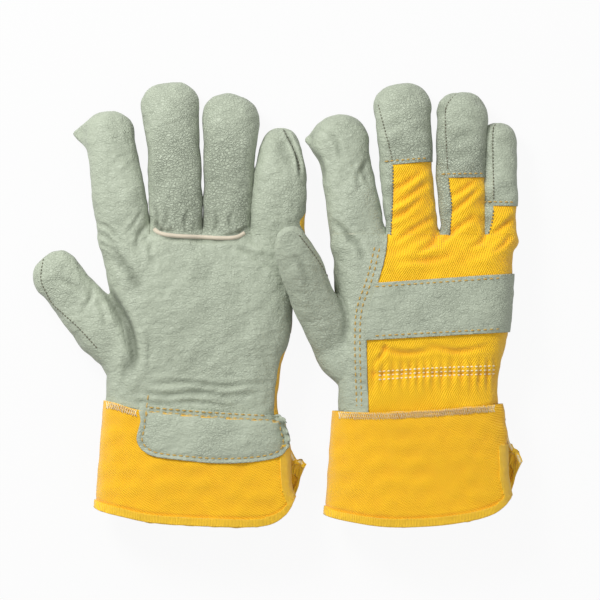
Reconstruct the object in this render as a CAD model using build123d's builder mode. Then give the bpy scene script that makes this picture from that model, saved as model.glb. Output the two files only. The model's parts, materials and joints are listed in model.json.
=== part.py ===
"""A pair of leather and drill rigger gloves, lying side by side on a table.

The left glove lies palm up and the right one palm down, so both thumbs point to -X and all the fingers to +Y.
Each glove is first modelled in its own frame: +Y to the fingertips, +X to the little finger, +Z out of the palm,
origin at mid thickness where the cuff meets the hand. Then it is laid in its place, and the right one is also
mirrored through its own XY plane. The finished pair stands with the centre of its footprint at the origin.
"""

import os
from math import asin, cos, degrees, radians

from build123d import *

os.makedirs("parts", exist_ok=True)

# --- cloth, mm ---
WALL = 1.2  # leather, or drill with its seam allowances
CUFF_WALL = 1.6  # two layers of drill over a stiffener
LINING = 0.6
TAPE = 0.7
THREAD = 0.5
AIR = 0.1  # between layers that lie on each other
PLAY = 0.8  # between the hand and the thumb that swings in it

# --- the hand: a hollow slab with round sides, between the wrist and the roots of the fingers ---
HAND_HALF = 14.0
HAND_ROUND = 13.0
WRIST_Y = 4.0
ROOT_Y = 104.5  # where the space between the two layers is handed over to the fingers
KNUCKLE_Y = 116.0  # the line that all four fingers bend about
PALM_END_Y = 109.5
BACK_END_Y = 118.0
SEAM_Z = -5.5  # the side seams run on the back half, because the front pieces wrap round the sides
STRAP_LOW, STRAP_HIGH, STRAP_LEFT, STRAP_RIGHT = 42.0, 79.0, -31.0, 42.0
ELASTIC_Y, ELASTIC_WIDTH, ELASTIC_LONG = 20.0, 9.0, 62.0
WELT_PATH = [(-28, 108), (-23, 104.6), (-15, 103.4), (20, 102), (26, 105)]
WELT_WIDTH, WELT_HIGH = 2.4, 1.2

# --- the cuff: a stiffer slab with a slit at its little-finger side ---
CUFF_HALF = 18.0
CUFF_ROUND = 15.0
CUFF_TOP, CUFF_END = 3.0, -71.0
CUFF_CORNER = 18.0
BINDING_WIDTH = 6.0
SLIT_TOP, SLIT_GAP = -25.0, 5.0
PATCH_LEFT, PATCH_RIGHT, PATCH_TOP, PATCH_END, PATCH_CORNER = -37.0, 43.0, -2.5, -33.0, 14.0

# --- digits ---
DIGIT_HALF = 11.0
DIGIT_ROUND = 9.5
THUMB_ROOT_SLIM = 0.4  # the root is this much slimmer than the rest

# --- stitches: short flat lengths of thread let into the cloth ---
STITCH_LONG, STITCH_WIDE, STITCH_PITCH = 2.6, 0.9, 4.0
SEAM_INSET, TWIN_ROW_GAP = 3.0, 5.0

BIG = 400.0


class Digit:
    """A finger or thumb: where its centre line crosses its hinge line, its lean to the thumb side, and its size."""

    def __init__(self, x, y, lean, reach, half_width, tip_radius, cap_from=None):
        self.x, self.y, self.lean, self.reach = x, y, lean, reach
        self.half_width, self.tip_radius, self.cap_from = half_width, tip_radius, cap_from
        self.edge_round = min(DIGIT_ROUND, half_width - 1.2, tip_radius - 1.2)


class Glove:
    """The sizes of one glove, which are measured in its own frame, and how it lies."""

    def __init__(self, side, palm_up, place_x, rest_height, hand_left, hand_right, cuff_left, cuff_right,
                 strip_edge, thumb_bend, thumb_tilt, thumb_swing, digits):
        self.side, self.palm_up, self.place_x, self.rest_height = side, palm_up, place_x, rest_height
        self.hand_left, self.hand_right = hand_left, hand_right
        self.cuff_left, self.cuff_right = cuff_left, cuff_right
        self.strip_edge = strip_edge
        self.thumb_bend, self.thumb_tilt, self.thumb_swing = thumb_bend, thumb_tilt, thumb_swing
        self.digits = digits
        self.up = 1 if palm_up else -1
        self.cuff_rise = 2.0 * self.up  # the cuff stands open, so its middle is above the hand's
        self.pieces = {}

    def droop(self, digit):
        """The tilt about the knuckle line that lets a finger rest its tip on the table, in degrees."""
        drop = self.rest_height - DIGIT_HALF - 2 * AIR
        return -self.up * degrees(asin(drop / (digit.reach - digit.edge_round)))


LEFT = Glove(
    "left", True, -66.0, 16.7,
    hand_left=(-57.5, -62.5), hand_right=(46.8, 62.0), cuff_left=(-59.0, -64.0), cuff_right=(50.0, 65.0),
    strip_edge=[(-30, 0), (-33, 40), (-31, 62), (-26, 92), (-30, 124)],
    thumb_bend=0.0, thumb_tilt=0.0, thumb_swing=(-8.0, 15.0),
    digits={
        "index": Digit(-47.3, KNUCKLE_Y, 9.6, 63.5, 16.2, 14.6),
        "middle": Digit(-14.4, KNUCKLE_Y, 4.0, 80.8, 15.3, 17.0, 38.0),
        "ring": Digit(16.1, KNUCKLE_Y, -2.4, 74.6, 13.9, 16.0, 34.0),
        "little": Digit(46.9, KNUCKLE_Y, -3.0, 53.2, 15.8, 12.6, 20.0),
        "thumb": Digit(-49.7, 34.8, 37.8, 72.3, 15.0, 12.3),
    },
)
RIGHT = Glove(
    "right", False, 66.0, 17.3,
    hand_left=(-49.2, -55.2), hand_right=(47.4, 58.5), cuff_left=(-52.0, -57.0), cuff_right=(50.0, 59.5),
    strip_edge=[(-30, 0), (-33, 40), (-31, 62), (-20, 96), (-21, 124)],
    thumb_bend=6.0, thumb_tilt=-26.5, thumb_swing=(0.0, 8.0),
    digits={
        "index": Digit(-38.6, KNUCKLE_Y, 10.9, 61.7, 16.7, 16.0),
        "middle": Digit(-5.5, KNUCKLE_Y, 4.5, 79.8, 15.2, 16.8, 45.0),
        "ring": Digit(26.6, KNUCKLE_Y, 1.1, 74.4, 14.0, 15.2, 37.0),
        "little": Digit(50.8, KNUCKLE_Y, -0.9, 56.0, 9.2, 9.4, 19.0),
        "thumb": Digit(-49.5, 37.0, 24.4, 75.7, 14.5, 9.9),
    },
)
FINGERS = ("index", "middle", "ring", "little")


# --- shapes that several pieces share ---
def is_side(edge):
    """Whether an edge runs along the sides of a slab, not across one of its flat ends."""
    along = edge @ 1 - edge @ 0
    return edge.geom_type != GeomType.LINE or abs(along.Y) > abs(along.X)


def slab(left, right, span, ends, half, edge_round, grow=0.0, corner=0.0, rise=0.0):
    """A slab with round sides. Its sides pass through the x of left and right at the two y of span."""
    def side_x(side, y):
        return side[0] + (side[1] - side[0]) * (y - span[0]) / (span[1] - span[0])

    near, far = ends
    with BuildPart() as body:
        with BuildSketch(Plane.XY.offset(rise)) as plan:
            with BuildLine():
                Polyline(
                    (side_x(left, near) - grow, near), (side_x(right, near) + grow, near),
                    (side_x(right, far) + grow, far), (side_x(left, far) - grow, far), close=True,
                )
            make_face()
            if corner:
                fillet(plan.vertices().group_by(Axis.Y)[0].sort_by(Axis.X)[-1], corner + grow)
        extrude(amount=half + grow, both=True)
        rims = body.edges().filter_by(lambda edge: abs(edge.center().Z - rise) > half / 2)
        fillet(rims.filter_by(is_side), edge_round + grow)
    return body.part


def pad(reach, root_radius, tip_radius, half, edge_round, back=0.0):
    """A soft tapered slab along +Y, from a round root at the origin or behind it, to a round tip."""
    with BuildPart() as body:
        with BuildSketch():
            with BuildLine():
                CenterArc((0, -back), root_radius, 0, 360)
                CenterArc((0, reach - tip_radius), tip_radius, 0, 360)
            make_hull()
        extrude(amount=half, both=True)
        fillet(body.edges().filter_by(lambda edge: abs(edge.center().Z) > half / 2), edge_round)
    return body.part


def box_between(low, high):
    """The box from one corner to the other."""
    size = [high[axis] - low[axis] for axis in range(3)]
    middle = [(high[axis] + low[axis]) / 2 for axis in range(3)]
    return Pos(*middle) * Box(*size)


def stitches(path, depth_plane, way):
    """Short flat threads along a polyline, with their outer face on a plane, and the inner ones towards it."""
    with BuildLine(mode=Mode.PRIVATE) as seam:
        Polyline(*path)
    line = seam.wire()
    count = int(line.length / STITCH_PITCH)
    with BuildPart() as threads:
        for index in range(count):
            spot = (index + 0.5) / count
            at, along = line.position_at(spot), line.tangent_at(spot)
            here = Plane((at.X, at.Y, depth_plane), x_dir=along, z_dir=(0, 0, way))
            with BuildSketch(here):
                Rectangle(STITCH_LONG, STITCH_WIDE)
            extrude(amount=-THREAD)
    return threads.part


# --- digits, each in its own frame with its hinge at the origin ---
def finger_solid(digit, tilt, grow=0.0, back=0.0):
    """The outside of a finger, or with a negative growth and room behind it, the space inside."""
    whole = pad(
        digit.reach + grow, digit.half_width + grow, digit.tip_radius + grow, DIGIT_HALF + grow,
        digit.edge_round + grow, back,
    )
    return Rotation(tilt, 0, 0) * (Rotation(0, 0, digit.lean) * whole)


def thumb_solid(glove, grow=0.0, back=0.0):
    """The same for a thumb. One that tilts a lot has a flat root inside the hand, and tilts from there on."""
    digit = glove.digits["thumb"]
    reach = (digit.reach - glove.thumb_bend) / cos(radians(glove.thumb_tilt))
    free = pad(
        reach + grow, digit.half_width + grow, digit.tip_radius + grow, DIGIT_HALF + grow,
        digit.edge_round + grow, 0 if glove.thumb_bend else back,
    )
    whole = Pos(0, glove.thumb_bend, 0) * (Rotation(glove.thumb_tilt, 0, 0) * free)
    if glove.thumb_bend:
        slim = grow - THUMB_ROOT_SLIM
        whole = whole + pad(
            glove.thumb_bend + digit.half_width + slim, digit.half_width + slim, digit.half_width + slim,
            DIGIT_HALF + slim, digit.edge_round - 2 + slim, back,
        )
    return Rotation(0, 0, digit.lean) * whole


def make_finger(glove, name):
    """The leather front, and the leather or drill back, of one finger."""
    digit = glove.digits[name]
    tilt = glove.droop(digit)
    knuckle = Pos(digit.x, digit.y, 0)
    root_round = Rotation(0, 90, 0) * Cylinder(DIGIT_HALF, BIG)
    in_front = box_between((-BIG, 0, -BIG), (BIG, BIG, BIG))
    shell = (finger_solid(digit, tilt) & (root_round + in_front)) - finger_solid(digit, tilt, -WALL, BIG / 8)
    back_region = Rotation(tilt, 0, 0) * box_between((-BIG, -BIG, -BIG), (BIG, BIG, SEAM_Z))
    glove.pieces[f"{name}_front"] = knuckle * (shell - back_region)
    back = shell & back_region
    if digit.cap_from:
        cap_region = Rotation(tilt, 0, 0) * box_between((-BIG, digit.cap_from, -BIG), (BIG, BIG, BIG))
        glove.pieces[f"{name}_cap"] = knuckle * (back & cap_region)
        back = back - cap_region
    glove.pieces[f"{name}_back"] = knuckle * back


def make_thumb(glove):
    """The two leather halves of the thumb."""
    digit = glove.digits["thumb"]
    bend, tilt = glove.thumb_bend, glove.thumb_tilt
    root = Pos(digit.x, digit.y, 0)
    shell = thumb_solid(glove) - thumb_solid(glove, -WALL, BIG / 16)
    back_region = Pos(0, bend, 0) * (
        Rotation(tilt, 0, 0) * box_between((-BIG, 0 if bend else -BIG, -BIG), (BIG, BIG, SEAM_Z)))
    if bend:
        back_region = back_region + box_between((-BIG, -BIG, -BIG), (BIG, bend, SEAM_Z))
    back_region = Rotation(0, 0, digit.lean) * back_region
    glove.pieces["thumb_front"] = root * (shell - back_region)
    glove.pieces["thumb_back"] = root * (shell & back_region)


# --- the hand ---
def hand_slab(glove, ends, grow=0.0):
    """The outside of the hand between two y, or with a negative growth, the space inside."""
    return slab(glove.hand_left, glove.hand_right, (WRIST_Y, BACK_END_Y), ends, HAND_HALF, HAND_ROUND, grow)


def open_for_thumb(glove, piece):
    """Take from a piece of the hand the space that the thumb sweeps, with a little play."""
    digit = glove.digits["thumb"]
    root = Pos(digit.x, digit.y, 0)
    low, high = glove.thumb_swing
    root_radius = digit.half_width + glove.thumb_bend + PLAY
    piece -= root * Cylinder(root_radius, 2 * (DIGIT_HALF + PLAY))
    reach = (digit.reach - glove.thumb_bend) / cos(radians(glove.thumb_tilt))
    with BuildPart() as room:
        with BuildSketch():
            with BuildLine():
                CenterArc((0, 0), digit.half_width + PLAY, 0, 360)
                CenterArc((0, reach - digit.tip_radius), digit.tip_radius + PLAY, 0, 360)
            make_hull()
        extrude(amount=DIGIT_HALF + PLAY, both=True)
    bent = Pos(0, glove.thumb_bend, 0) * (Rotation(glove.thumb_tilt, 0, 0) * room.part)
    for swing in (low, (low + high) / 2, high):
        piece -= root * (Rotation(0, 0, digit.lean - swing) * bent)
    return piece


def strip_region(glove):
    """The thumb side of the back, which the forefinger strip covers."""
    edge = glove.strip_edge
    with BuildPart() as region:
        with BuildSketch(Plane.XY.offset(-BIG / 8)):
            with BuildLine():
                Polyline(*edge, (-BIG, edge[-1][1]), (-BIG, edge[0][1]), close=True)
            make_face()
        extrude(amount=BIG / 4)
    return region.part


def make_hand(glove):
    """Palm, forefinger strip and drill back, with the lining, strap, elastic and welt that lie on them."""
    inner = hand_slab(glove, (-BIG / 8, BIG / 2), -WALL)
    side_gap = DIGIT_HALF + 0.8
    between_layers = box_between((-BIG, ROOT_Y, -side_gap), (BIG, BIG, side_gap))
    shell = open_for_thumb(glove, hand_slab(glove, (WRIST_Y, BACK_END_Y)) - inner - between_layers)
    back_region = box_between((-BIG, -BIG, -BIG), (BIG, BIG, SEAM_Z))
    palm_overrun = box_between((-BIG, PALM_END_Y, SEAM_Z), (BIG, BIG, BIG))
    glove.pieces["palm"] = shell - back_region - palm_overrun
    back = shell & back_region
    strip = strip_region(glove)
    glove.pieces["forefinger_strip"] = back & strip
    glove.pieces["back_drill"] = back - strip

    lining_gap = WALL + AIR
    lining = hand_slab(glove, (WRIST_Y + 2, ROOT_Y - 2), -lining_gap)
    lining -= hand_slab(glove, (-BIG / 8, BIG / 2), -lining_gap - LINING)
    lining -= box_between((-BIG, -BIG, -BIG), (BIG, BIG, 1.0))
    glove.pieces["palm_lining"] = open_for_thumb(glove, lining)

    with BuildPart() as strap:
        with BuildSketch(Plane.XY.offset(-HAND_HALF - AIR)):
            with Locations(((STRAP_LEFT + STRAP_RIGHT) / 2, (STRAP_LOW + STRAP_HIGH) / 2)):
                RectangleRounded(STRAP_RIGHT - STRAP_LEFT, STRAP_HIGH - STRAP_LOW, 2)
        extrude(amount=-WALL)
    rows = [STRAP_LOW + SEAM_INSET, STRAP_HIGH - SEAM_INSET]
    strap_face = -HAND_HALF - AIR - WALL
    threads = [stitches([(STRAP_LEFT + 2, y), (STRAP_RIGHT - 2, y)], strap_face, -1) for y in rows]
    glove.pieces["strap_stitching"] = threads[0] + threads[1]
    glove.pieces["knuckle_strap"] = strap.part - glove.pieces["strap_stitching"]

    with BuildPart() as elastic:
        with BuildSketch(Plane.XY.offset(-HAND_HALF + WALL + AIR)):
            with Locations((5, ELASTIC_Y)):
                RectangleRounded(ELASTIC_LONG, ELASTIC_WIDTH, 1)
        extrude(amount=LINING)
    glove.pieces["wrist_elastic"] = elastic.part

    with BuildPart() as welt:
        with BuildSketch(Plane.XY.offset(HAND_HALF + AIR)):
            with BuildLine():
                Polyline(*WELT_PATH)
            trace(line_width=WELT_WIDTH)
        extrude(amount=WELT_HIGH)
    glove.pieces["finger_welt"] = welt.part


# --- the cuff ---
def cuff_slab(glove, ends, grow=0.0):
    """The outside of the cuff between two y, or with a negative growth, the space inside."""
    corner = CUFF_CORNER if ends[0] > -BIG / 4 else 0
    return slab(glove.cuff_left, glove.cuff_right, (CUFF_TOP, CUFF_END), ends, CUFF_HALF, CUFF_ROUND, grow,
                corner, glove.cuff_rise)


def make_cuff(glove):
    """The drill cuff with its bound edge, the leather pulse patch on its palm side, and their stitching."""
    slit = box_between(
        (0, -BIG, glove.cuff_rise - SLIT_GAP / 2), (BIG, SLIT_TOP, glove.cuff_rise + SLIT_GAP / 2))
    inner = cuff_slab(glove, (-BIG / 2, BIG / 8), -CUFF_WALL)
    cuff = cuff_slab(glove, (CUFF_END, CUFF_TOP)) - inner - slit
    binding = cuff_slab(glove, (CUFF_END - TAPE, CUFF_TOP), TAPE)
    binding -= Pos(0, BINDING_WIDTH, 0) * cuff_slab(glove, (CUFF_END, CUFF_TOP), 3 * TAPE)
    binding -= cuff_slab(glove, (-BIG / 2, BIG / 8), -CUFF_WALL - TAPE)
    glove.pieces["cuff_binding"] = binding - cuff - slit

    hem_y = CUFF_TOP - SEAM_INSET - 1
    back_face = glove.cuff_rise - CUFF_HALF
    zigzag = [(x, hem_y + (1.6 if step % 2 else -1.6)) for step, x in enumerate(range(-42, 37, 3))]
    glove.pieces["hem_stitching"] = stitches(zigzag, back_face, -1)
    glove.pieces["cuff"] = cuff - glove.pieces["hem_stitching"]

    patch_back = glove.cuff_rise + CUFF_HALF + AIR
    with BuildPart() as patch:
        with BuildSketch(Plane.XY.offset(patch_back)) as plan:
            with Locations(((PATCH_LEFT + PATCH_RIGHT) / 2, (PATCH_TOP + PATCH_END) / 2)):
                Rectangle(PATCH_RIGHT - PATCH_LEFT, PATCH_TOP - PATCH_END)
            fillet(plan.vertices().group_by(Axis.Y)[0], PATCH_CORNER)
        extrude(amount=WALL)
    left, right = PATCH_LEFT + SEAM_INSET, PATCH_RIGHT - SEAM_INSET
    top, end = PATCH_TOP - SEAM_INSET, PATCH_END + SEAM_INSET
    bevel = PATCH_CORNER - SEAM_INSET
    around = [(left, top), (left, end + bevel), (left + bevel, end), (right - bevel, end), (right, end + bevel),
              (right, top), (left + STITCH_LONG, top)]
    glove.pieces["patch_stitching"] = stitches(around, patch_back + WALL, 1)
    glove.pieces["pulse_patch"] = patch.part - glove.pieces["patch_stitching"]


def laid(glove, piece):
    """Lay a piece of one glove on the table, palm up or palm down."""
    if not glove.palm_up:
        piece = mirror(piece, about=Plane.XY)
    return Pos(glove.place_x, 0, glove.rest_height) * piece


pair = {}
for glove in (LEFT, RIGHT):
    for finger in FINGERS:
        make_finger(glove, finger)
    make_thumb(glove)
    make_hand(glove)
    make_cuff(glove)
    for name, piece in glove.pieces.items():
        pair[f"{glove.side}_{name}"] = laid(glove, piece)

# the footprint's centre goes to the origin, and the lowest point to the table
outline = Compound(children=[Compound(piece.solids()) for piece in pair.values()]).bounding_box()
TO_ORIGIN = Pos(-outline.center().X, -outline.center().Y, -outline.min.Z)
for name, piece in pair.items():
    finished = Part(Compound(children=(TO_ORIGIN * piece).solids()).wrapped)
    finished.label = name
    export_step(finished, f"parts/{name}.step")
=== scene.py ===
"""A pair of leather and drill rigger gloves on a white table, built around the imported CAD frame.

Every shape is worked out in millimetres in the glove's own plan: X away from the thumb, Y towards the
fingertips, and Z the height above the table. Its origin is on the line where the cuff meets the hand, and
comes from the wrist joint. The left glove lies palm up and the right one palm down.

Each hand, finger and thumb is a smooth closed form drawn from an implicit surface. It is creased, then cut
along its seams into the pieces that a glove maker cuts, and each piece gets the thickness of its cloth.
"""

import json
from math import cos, pi, radians, sin

import bpy
import numpy as np
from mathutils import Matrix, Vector
from mathutils.bvhtree import BVHTree


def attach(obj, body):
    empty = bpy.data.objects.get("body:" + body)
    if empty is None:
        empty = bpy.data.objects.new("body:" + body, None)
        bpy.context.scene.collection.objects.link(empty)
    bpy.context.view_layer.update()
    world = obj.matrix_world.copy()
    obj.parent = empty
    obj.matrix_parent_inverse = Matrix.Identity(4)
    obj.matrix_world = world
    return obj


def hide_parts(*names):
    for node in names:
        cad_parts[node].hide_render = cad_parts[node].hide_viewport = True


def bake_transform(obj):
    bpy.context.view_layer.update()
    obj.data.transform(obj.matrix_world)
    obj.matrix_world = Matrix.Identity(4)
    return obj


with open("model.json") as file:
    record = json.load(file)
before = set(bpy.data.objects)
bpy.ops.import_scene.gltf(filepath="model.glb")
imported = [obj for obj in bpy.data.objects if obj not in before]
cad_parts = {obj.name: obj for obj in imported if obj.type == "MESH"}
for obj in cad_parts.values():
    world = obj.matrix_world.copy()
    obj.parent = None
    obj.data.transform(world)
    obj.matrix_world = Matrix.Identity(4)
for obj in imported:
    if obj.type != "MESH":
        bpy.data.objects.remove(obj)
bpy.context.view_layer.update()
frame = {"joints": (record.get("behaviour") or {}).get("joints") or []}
JOINTS = {joint["name"]: joint for joint in frame["joints"]}
MM = 0.001
SEWN = "_sewn"  # a visible piece has the name of its CAD node and this

# --- cloth and thread, mm ---
LEATHER = 1.2
DRILL = 1.0
LINING = 0.5
CUFF_THICK = 1.6
LAYER = 1.0
ON_TOP = LAYER + 0.3  # how far a piece that is sewn on top stands proud
BINDING_WIDTH = 5.4
SLIT_BINDING_WIDTH, SLIT_TOP = 13.0, -22.0  # beside the slit the tape goes round the side of the cuff
BINDING_PROUD = 0.7
STITCH_LONG, STITCH_GAP, THREAD_RADIUS, THREAD_CORNERS = 2.5, 1.3, 0.45, 6

# --- sizes of the forms, mm ---
VOXEL = 1.5
ROOT_Y, ROOT_OVERLAP = 104.4, 0.3  # fingers are made apart from the hand beyond this line
HINGE_TO_ORIGIN = 12.0  # the wrist bends this far above the glove's origin
HAND_FLOOR, DIGIT_FLOOR = 1.7, 0.5  # lowest points above the table, with room for the strap below the hand
CUFF_FLOOR, CUFF_FLOOR_ON_PATCH = 0.95, 1.9
CUFF_SQUARENESS = 2 / 2.7  # 1 would be an oval section
LOWEST = 0.3  # nothing that is sewn on comes nearer to the table
GATHER_PITCH = 5.2
CREASE_REACH = 9.0  # a crease changes nothing further away than this
CREASE_DEPTH, BANK = 1.25, 0.35  # creases are this much deeper than listed, with a low bank on each side
PALM_ROUND = 21.0
FLATNESS = 0.70  # a digit's thickness as a share of its width
FINGERS = ("index", "middle", "ring", "little")
SEAM_DROP = 5.5  # the side seams run this far to the back of the middle


class Digit:
    """A finger or thumb that leans to the thumb side.

    Stations are (along, across, half width) from its joint, in mm. So are blunt, the end of a broad tip,
    and ear, the corner of a fingertip's seam. seam is a line of visible stitches, from the tip down.
    A leather cap covers the back beyond cap. rise is how much higher the tip lies than the joint.
    """

    def __init__(self, lean, stations, blunt=(), ear=(), rise=None, cap=None, seam=()):
        self.lean, self.stations, self.blunt, self.ear = radians(lean), stations, blunt, ear
        self.rise, self.cap, self.seam = rise, cap, seam

    def place(self, joint, origin, mid):
        """Fix the hinge from the frame, and the heights from the table or the thumb's rise."""
        hinge = np.array(joint["pos_m"]) / MM
        self.hinge = hinge[:2] - origin
        self.mid = mid
        self.reach = max(station[0] + station[2] for station in [*self.stations, *self.blunt])

    def at(self, along, across):
        """A point of the plan, from a point in the digit's own directions."""
        cosine, sine = cos(self.lean), sin(self.lean)
        return (self.hinge[0] - along * sine + across * cosine,
                self.hinge[1] + along * cosine + across * sine)

    def along(self, x, y):
        return (y - self.hinge[1]) * cos(self.lean) - (x - self.hinge[0]) * sin(self.lean)

    def across(self, x, y):
        return (x - self.hinge[0]) * cos(self.lean) + (y - self.hinge[1]) * sin(self.lean)

    def height(self, along, half):
        """The height of the digit's middle: it droops to the table, or rises with the thumb's tilt."""
        share = np.clip(along / self.reach, 0, 1)
        if self.rise is not None:
            return self.mid + self.rise * share
        return self.mid + (DIGIT_FLOOR + half - self.mid) * share

    def chain(self, stations, x, y, z):
        """How far outside a chain of round stretches each point is, in mm."""
        nearest = np.full(x.shape, 1e9)
        offset, half_width = np.zeros(x.shape), np.ones(x.shape)
        for first, second in zip(stations[:-1], stations[1:]):
            ax, ay = self.at(first[0], first[1])
            bx, by = self.at(second[0], second[1])
            length = np.hypot(bx - ax, by - ay)
            ahead = ((x - ax) * (bx - ax) + (y - ay) * (by - ay)) / length
            aside = np.abs((x - ax) * (by - ay) - (y - ay) * (bx - ax)) / length
            slope = np.clip((first[2] - second[2]) / length, -0.97, 0.97)
            upright = np.sqrt(1 - slope**2)
            t = np.clip((ahead * upright - aside * slope) / (upright * length), 0, 1)
            width = first[2] + (second[2] - first[2]) * t
            outside = np.hypot(aside, ahead - t * length) - width
            better = outside < nearest
            nearest = np.where(better, outside, nearest)
            offset = np.where(better, np.maximum(outside + width, 0), offset)
            half_width = np.where(better, width, half_width)
        half = np.clip(half_width * FLATNESS, 2.5, 11.6)
        middle = self.height(self.along(x, y), half)
        return rounded(offset / half_width, half_width, np.abs(z - middle) / half, half, 2.3)

    def field(self, x, y, z):
        body = self.chain(self.stations, x, y, z)
        for extra, softness in ((self.blunt, 3.0), (self.ear, 3.5)):
            if extra:
                body = smooth_min(body, self.chain(extra, x, y, z), softness)
        return body


class Glove:
    """One glove: outlines in its own plan, and the list of its creases."""

    def __init__(self, side, palm_up, palm, digits, cuff_left, cuff_right, hem, mouth, strip_edge, strap,
                 creases, elastic_y, thumb_seam):
        self.side, self.up = side, 1 if palm_up else -1
        wrist = np.array(JOINTS[f"{side}_wrist_bend"]["pos_m"]) / MM
        self.origin = np.array([wrist[0], wrist[1] - HINGE_TO_ORIGIN])
        self.mid = wrist[2]
        self.palm, self.digits = palm, digits
        self.cuff_left, self.cuff_right, self.hem, self.mouth = cuff_left, cuff_right, hem, mouth
        self.strip_edge, self.strap, self.creases = strip_edge, strap, creases
        self.elastic_y, self.thumb_seam = elastic_y, thumb_seam
        for name, digit in digits.items():
            joint = f"{side}_thumb_swing" if name == "thumb" else f"{side}_{name}_bend"
            digit.place(JOINTS[joint], self.origin, self.mid)

    def world(self, points):
        """Points of the plan in millimetres, as points of the row frame in metres."""
        points = np.asarray(points, float)
        return (points + np.array([self.origin[0], self.origin[1], 0])) * MM

    def body(self, name):
        return f"{self.side}_{name}"


# --- plan geometry and fields ---
def smooth_min(a, b, softness):
    """The smaller of two fields, rounded where they are about equal."""
    h = np.clip(0.5 + 0.5 * (b - a) / softness, 0, 1)
    return b * (1 - h) + a * h - softness * h * (1 - h)


def smooth_max(a, b, softness):
    return -smooth_min(-a, -b, softness)


def rounded(side, wide, over, high, power):
    """About how far a point is outside a rounded section, from its shares of the width and the height."""
    section = (side**power + over**power) ** (1 / power)
    steepness = np.hypot(side ** (power - 1) / wide, over ** (power - 1) / high)
    steepness = steepness / np.maximum(section, 0.05) ** (power - 1)
    return np.maximum((section - 1) / np.maximum(steepness, 0.02), -high)


def curve(points, steps=10, closed=False):
    """A smooth line through the points."""
    points = np.asarray(points, float)
    if closed:
        padded = np.vstack([points[-1], points, points[:2]])
    else:
        padded = np.vstack([2 * points[0] - points[1], points, 2 * points[-1] - points[-2]])
    t = np.linspace(0, 1, steps, endpoint=False)[:, None]
    line = []
    for a, b, c, d in zip(padded[:-3], padded[1:-2], padded[2:-1], padded[3:]):
        line.append(0.5 * (2 * b + (c - a) * t + (2 * a - 5 * b + 4 * c - d) * t**2
                           + (3 * b - 3 * c + d - a) * t**3))
    line = np.vstack(line)
    return line if closed else np.vstack([line, points[-1:]])


def to_line(line, x, y):
    """Distance from each point to a line, and how far along it the nearest place is, from 0 to 1."""
    lengths = np.hypot(*(line[1:] - line[:-1]).T)
    starts = np.concatenate([[0], np.cumsum(lengths)])
    nearest, where = np.full(x.shape, 1e9), np.zeros(x.shape)
    for index, (a, b) in enumerate(zip(line[:-1], line[1:])):
        if lengths[index] < 1e-9:
            continue
        run_x, run_y = b - a
        t = np.clip(((x - a[0]) * run_x + (y - a[1]) * run_y) / lengths[index] ** 2, 0, 1)
        away = np.hypot(x - a[0] - t * run_x, y - a[1] - t * run_y)
        better = away < nearest
        nearest = np.where(better, away, nearest)
        where = np.where(better, starts[index] + t * lengths[index], where)
    return nearest, where / starts[-1]


def outline_field(line, x, y):
    """Distance outside a closed outline, negative inside."""
    closed = np.vstack([line, line[:1]])
    away, _ = to_line(closed, x, y)
    inside = np.zeros(x.shape, bool)
    for a, b in zip(closed[:-1], closed[1:]):
        crosses = (a[1] > y) != (b[1] > y)
        rise = b[1] - a[1] if abs(b[1] - a[1]) > 1e-12 else 1e-12
        inside ^= crosses & (x < a[0] + (y - a[1]) * (b[0] - a[0]) / rise)
    return np.where(inside, -away, away)


def ripples(points, wavelength, seed, stretch=(1, 1, 1), waves=14):
    """Smooth random relief from about -1 to 1: a few waves of about one length in random directions."""
    draw = np.random.default_rng(seed)
    directions = draw.normal(size=(waves, 3))
    directions /= np.linalg.norm(directions, axis=1)[:, None]
    lengths = wavelength * draw.uniform(0.75, 1.35, waves)
    phases = draw.uniform(0, 2 * pi, waves)
    total = np.zeros(len(points))
    for direction, length, phase in zip(directions, lengths, phases):
        total += np.sin(points @ (direction * np.array(stretch) * 2 * pi / length) + phase)
    return total / np.sqrt(waves / 2) / 1.6


# --- turning a field into a mesh ---
def surface_net(field, low, step):
    """The zero surface of a field on a grid, as points and quads that face outwards."""
    inside = field < 0
    shape = np.array(field.shape) - 1
    corners = [(i, j, k) for i in (0, 1) for j in (0, 1) for k in (0, 1)]
    count = sum(inside[i:i + shape[0], j:j + shape[1], k:k + shape[2]].astype(np.int8)
                for i, j, k in corners)
    active = (count > 0) & (count < 8)
    index = np.full(active.shape, -1)
    index[active] = np.arange(active.sum())
    cells = np.argwhere(active)
    total, hits = np.zeros((len(cells), 3)), np.zeros(len(cells))
    for a in corners:
        for axis in range(3):
            if a[axis]:
                continue
            b = list(a)
            b[axis] = 1
            va, vb = field[tuple((cells + a).T)], field[tuple((cells + b).T)]
            crossed = (va < 0) != (vb < 0)
            share = va / np.where(crossed, va - vb, 1)
            spot = np.tile(np.array(a, float), (len(cells), 1))
            spot[:, axis] += share
            total[crossed] += spot[crossed]
            hits[crossed] += 1
    points = np.array(low) + step * (cells + total / hits[:, None])
    quads = []
    for axis in range(3):
        u, v = np.eye(3, dtype=int)[(axis + 1) % 3], np.eye(3, dtype=int)[(axis + 2) % 3]
        first = np.take(inside, range(field.shape[axis] - 1), axis)
        second = np.take(inside, range(1, field.shape[axis]), axis)
        edges = np.argwhere(first != second)
        free = [i for i in range(3) if i != axis]
        edges = edges[((edges[:, free] > 0) & (edges[:, free] < shape[free])).all(1)]
        around = [index[tuple((edges - offset).T)] for offset in (u + v, v, 0 * u, u)]
        quad = np.stack(around, 1)
        outward = inside[tuple(edges.T)]
        quads.append(np.where(outward[:, None], quad, quad[:, ::-1]))
    quads = np.vstack(quads)
    return points, quads[(quads >= 0).all(1)]


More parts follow.
